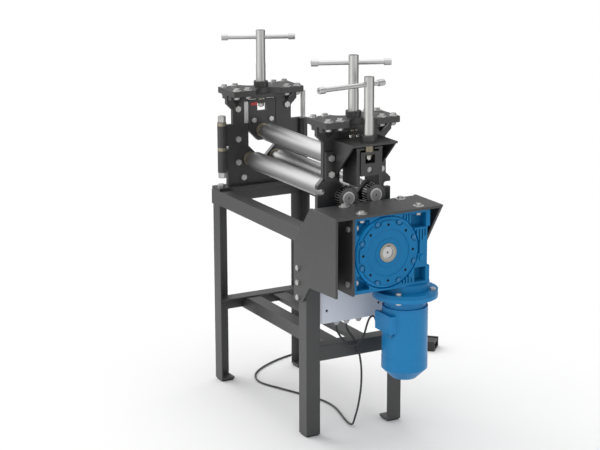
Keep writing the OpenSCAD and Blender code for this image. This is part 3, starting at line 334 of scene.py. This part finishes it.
# Zinc-plated hexagon bolts, nuts and pins: pale grey, slightly cloudy. Round the gearbox's
# cover the bolt heads went under the blue enamel with the casting, so they get its colour
# and its gloss by their place.
zinc = Finish("zinc_plate")
enamelled = zinc.past(624, 625) * (1.0 - zinc.from_axis(output_axis).above(0.138, 0.139))
plating = zinc.mix(zinc.noise(70, 3).above(0.35, 0.65), (0.42, 0.42, 0.415), (0.52, 0.52, 0.51))
zinc.set("Base Color", zinc.mix(enamelled, plating, (0.003, 0.127, 0.300)))
zinc.set("Metallic", (1.0 - enamelled) * 0.75)
zinc.set("Roughness", zinc.noise(160, 3) * 0.15 + 0.30)
zinc.relief(zinc.noise(700, 2), 0.00004, 0.4)
for name in ("housing_bolts", "gate_bolts", "drive_bolts", "slider_bolts", "hinge_pin", "latch_pin"):
    dressed(name, zinc, 0.7)

# The scale beside the gate's slot: a plain aluminium plate, satin anodised.
anodised = Finish("anodised_aluminium", Metallic=1.0)
cloudy = anodised.noise(40, 3).above(0.3, 0.7)
anodised.set("Base Color", anodised.mix(cloudy, grey(0.50), grey(0.56)))
anodised.set("Roughness", anodised.noise(30, 2, 0.5, (1, 1, 60)) * 0.1 + 0.42)
dressed("gate_scale", anodised, 0.4)

# The pointer: a strip of steel sprayed red, screwed to the far slider.
pointer_red = Finish("pointer_red", Metallic=0.0, Coat_Weight=0.2, Coat_Roughness=0.3)
pointer_red.set("Base Color", wear_colour(pointer_red, (0.42, 0.030, 0.032), (0.46, 0.045, 0.045),
                                          (0.5, 0.2, 0.2), 30))
pointer_red.set("Roughness", pointer_red.noise(60, 2) * 0.1 + 0.4)
pointer_red.relief(pointer_red.noise(900, 2), 0.00008, 0.4)
dressed("far_pointer", pointer_red, 0.4)

# Cast bronze bushes and thrust washers, dull from handling.
bronze = Finish("bronze", Metallic=1.0)
tarnish = bronze.noise(50, 4).above(0.3, 0.7)
bronze.set("Base Color", bronze.mix(tarnish, (0.25, 0.225, 0.17), (0.31, 0.28, 0.215)))
bronze.set("Roughness", bronze.noise(120, 3) * 0.12 + 0.36)
bronze.relief(bronze.noise(500, 2), 0.00005, 0.5)
for name in ("bronze_bushes", "far_bush", "near_bush"):
    dressed(name, bronze, 0.5)

# The gearbox and motor castings: aluminium with a blue machine enamel over the cast skin,
# its colour set lighter or darker piece by piece as painted light and shade. The groove round
# the cover is painted a paler blue as painted light in its shadow. The cover's dished ring
# runs out softly at both edges, and its eight tapped holes are painted near black as painted shade.
tapped_holes, hole_ring = 8, 107.5
# Each piece's enamel colour is scaled by its own factor: painted light and shade on one blue paint.
for name, painted_light_factor, gloss in (("gearbox_case", 0.88, 0.14), ("gearbox_cover", 0.86, 0.12),
                           ("motor_body", 1.06, 0.25), ("terminal_box", 1.16, 0.25)):
    blue = Finish("blue_" + name, Metallic=0.0, Specular_IOR_Level=gloss, Coat_Weight=gloss / 3,
                  Coat_Roughness=0.2)
    enamel = wear_colour(blue, (0.005, 0.165 * painted_light_factor, 0.385 * painted_light_factor), (0.007, 0.183 * painted_light_factor, 0.415 * painted_light_factor),
                         (0.04, 0.23, 0.44), 12)
    skin = blue.noise(380, 3, 0.6)
    if name.startswith("gearbox"):
        radius = blue.from_axis(output_axis)
        round_cover = radius.above(0.1300, 0.1302) * (1.0 - radius.above(0.1420, 0.1422))
        # The groove round the cover is painted paler: painted light where its shadow falls.
        painted_light_in_groove = round_cover * (1.0 - blue.past(628, 629))
        enamel = blue.mix(painted_light_in_groove, enamel, (0.012, 0.27, 0.58))
    if name == "gearbox_cover":
        skin = skin - radius.above(0.052, 0.059) * (1.0 - radius.above(0.083, 0.091)) * 20
        for i in range(tapped_holes):
            turn = math.radians(360 / tapped_holes * i)
            hole = output_axis + Vector((0, math.sin(turn), math.cos(turn))) * hole_ring / 1000
            # The tapped holes are painted near black: painted shade inside the holes.
            enamel = blue.mix(blue.from_axis(hole).above(0.0051, 0.0054), grey(0.012), enamel)
    blue.set("Base Color", enamel)
    blue.set("Roughness", blue.noise(45, 3) * 0.15 + 0.30)
    blue.relief(skin, 0.00025, 0.45)
    dressed(name, blue, 1.5)

# The control cabinet: folded sheet steel with a pale grey textured powder coat.
powder = Finish("grey_powder_coat", Metallic=0.0)
lock_sides, lock_height = (-116, 116), 497
# The two keyholes are painted near black: painted shade inside the holes.
painted_keyhole_shade = [1.0 - powder.from_axis(place(0, y, lock_height)).above(0.0050, 0.0056) for y in lock_sides]
coat = wear_colour(powder, (0.65, 0.68, 0.74), (0.69, 0.72, 0.78), (0.76, 0.77, 0.78))
powder.set("Base Color", powder.mix(painted_keyhole_shade[0] + painted_keyhole_shade[1], coat, grey(0.01)))
powder.set("Roughness", powder.noise(40, 3) * 0.1 + 0.5)
powder.relief(powder.noise(1300, 2), 0.0001, 0.6)
dressed("control_box", powder, 1.5)

# The cable glands: moulded plastic, pale grey under the cabinet and blue on the motor.
gland_plastic = Finish("gland_plastic", Metallic=0.0)
under_cabinet = wear_colour(gland_plastic, (0.42, 0.43, 0.44), (0.48, 0.49, 0.50), grey(0.6), 15)
on_motor = gland_plastic.past(410, 420)
gland_plastic.set("Base Color", gland_plastic.mix(on_motor, under_cabinet, (0.010, 0.13, 0.32)))
gland_plastic.set("Roughness", gland_plastic.noise(50, 3) * 0.12 + 0.42)
gland_plastic.relief(gland_plastic.noise(1600, 2), 0.00008, 0.5)
dressed("cable_glands", gland_plastic, 0.8)

# The foot pedal: black moulded plastic with a fine spark-eroded grain.
plastic = Finish("black_plastic", Metallic=0.0)
plastic.set("Base Color", wear_colour(plastic, (0.018, 0.018, 0.019), (0.026, 0.026, 0.027), grey(0.07), 15))
plastic.set("Roughness", plastic.noise(50, 3) * 0.12 + 0.42)
plastic.relief(plastic.noise(1600, 2), 0.00008, 0.5)
for name in ("pedal_base", "pedal_treadle"):
    dressed(name, plastic, 0.8)

# The two cables: round rubber-sheathed lead, 8 mm thick. One drops from the cabinet and
# rises into the motor's terminal box, the other runs over the floor to the foot pedal.
sheath = Finish("cable_sheath", Metallic=0.0)
sheath.set("Base Color", wear_colour(sheath, (0.028, 0.029, 0.030), (0.038, 0.039, 0.040), grey(0.10), 20))
sheath.set("Roughness", sheath.noise(60, 3) * 0.15 + 0.5)
sheath.relief(sheath.noise(1200, 2), 0.00006, 0.4)
sheath_radius = 0.004


def lead(name, points):
    """A smooth round cable through the points, in millimetres from the stand's middle."""
    points = [place(*p) for p in points]
    smooth, steps = [], 4
    for i in range(len(points) - 1):
        a, b, c, d = points[max(i - 1, 0)], points[i], points[i + 1], points[min(i + 2, len(points) - 1)]
        for k in range(steps):
            t = k / steps
            smooth.append(0.5 * (2 * b + (c - a) * t + (2 * a - 5 * b + 4 * c - d) * t * t
                                 + (3 * b - a - 3 * c + d) * t ** 3))
    smooth.append(points[-1])
    line = bpy.data.curves.new(name, "CURVE")
    line.dimensions = "3D"
    line.bevel_depth = sheath_radius
    line.bevel_resolution = 3
    line.use_fill_caps = True
    spline = line.splines.new("POLY")
    spline.points.add(len(smooth) - 1)
    for p, v in zip(spline.points, smooth):
        p.co = (*v, 1)
    cable = bpy.data.objects.new(name, line)
    bpy.context.collection.objects.link(cable)
    cable.data.materials.append(sheath.material)
    length = sum((smooth[i + 1] - smooth[i]).length for i in range(len(smooth) - 1))
    return cable, smooth[0], length


motor_lead, start, length = lead("motor_cable", [
    (372, -65, 431), (372, -65, 415), (380, -60, 395), (403, -48, 370), (414, -30, 354), (418, -6, 352),
    (418, 16, 364), (416, 34, 390), (416, 46, 426), (424, 52, 452), (442, 54, 466), (456, 54, 468),
    (468, 54, 468)])
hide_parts("motor_lead")
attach(motor_lead, "stand")

pedal_lead, start, length = lead("pedal_cable", [
    (372, -21, 431), (372, -21, 415), (380, -16, 398), (396, -4, 374), (404, 8, 345), (406, 20, 300),
    (408, 27, 241), (410, 24, 170), (410, 12, 98), (406, 0, 49), (388, 0, 16), (350, 5, 6),
    (295, 16, 5), (179, 45, 5), (106, 48, 5), (60, 40, 5), (0, 18, 5), (-70, -10, 5),
    (-139, -39, 5), (-215, -71, 5), (-271, -78, 5), (-334, -58, 5), (-390, -12, 5), (-440, 60, 5),
    (-480, 140, 5), (-510, 240, 5), (-520, 350, 5), (-505, 470, 5), (-470, 580, 6), (-430, 655, 11),
    (-399, 695, 18), (-384, 710, 20), (-369, 725, 20)])
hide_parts("pedal_lead")
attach(pedal_lead, "stand")

# The studio: a round sheet of white paper underfoot on a white floor that runs on without
# an end, and a white tent round it. A soft lamp hangs high on the left and one overhead,
# and the tent's front and left walls glow a little, so that bright metal shows its shape.
# The metal mirrors the paper and the tent, and not the floor beyond.
paper = Finish("studio_paper", Metallic=0.0, Roughness=1.0, Specular_IOR_Level=0.0)
paper.set("Base Color", (*grey(0.66), 1))
bpy.ops.object.select_all(action="DESELECT")
paper_radius, floor_side = 2.6, 120
bpy.ops.mesh.primitive_circle_add(vertices=96, radius=paper_radius, fill_type="NGON")
sheet = bpy.context.active_object
sheet.name = "paper"
bpy.ops.mesh.primitive_plane_add(size=floor_side, location=(0, 0, -0.0005))
floor = bpy.context.active_object
floor.name = "floor"
floor.visible_glossy = False
for o in (sheet, floor):
    o.data.materials.append(paper.material)


class Tent(Finish):
    """The light all round the machine, painted by direction."""

    def __init__(self, name):
        world = bpy.data.worlds.new(name)
        bpy.context.scene.world = world
        world.use_nodes = True
        self.tree = world.node_tree
        self.shader = self.tree.nodes["Background"]
        self.where = self.node("ShaderNodeTexCoord", {}, {}, "Generated")

    def glow(self, toward, wide, narrow):
        """1 within the narrow angle of a direction, falling to 0 at the wide one, in degrees."""
        near = self.node("ShaderNodeVectorMath", {"operation": "DOT_PRODUCT"},
                         {0: self.where, 1: Vector(toward).normalized()}, "Value")
        return near.above(math.cos(math.radians(wide)), math.cos(math.radians(narrow)))


tent = Tent("studio")
rise = tent.height()
walls = 0.28 + rise.above(0.3, 0.8) * 0.25
high_left = tent.glow((-0.80, -0.30, 0.50), 42, 10) * 2.4
overhead = tent.glow((-0.25, 0.2, 1.0), 50, 20) * 1.55
side_wall = tent.glow((-0.30, -0.95, 0.05), 60, 25) * 0.65
front_wall = tent.glow((0.85, -0.464, -0.25), 100, 60) * 0.70 + tent.glow((0.85, 0.464, -0.25), 36, 10) * 0.25
lamps = high_left + overhead + side_wall + front_wall
seen = tent.node("ShaderNodeLightPath", {}, {}, "Is Camera Ray")
tent.set("Color", (1, 1, 1, 1))
tent.set("Strength", (walls + lamps) * (1.0 - seen) + seen * 1.05)
bpy.context.scene.view_settings.view_transform = "Standard"
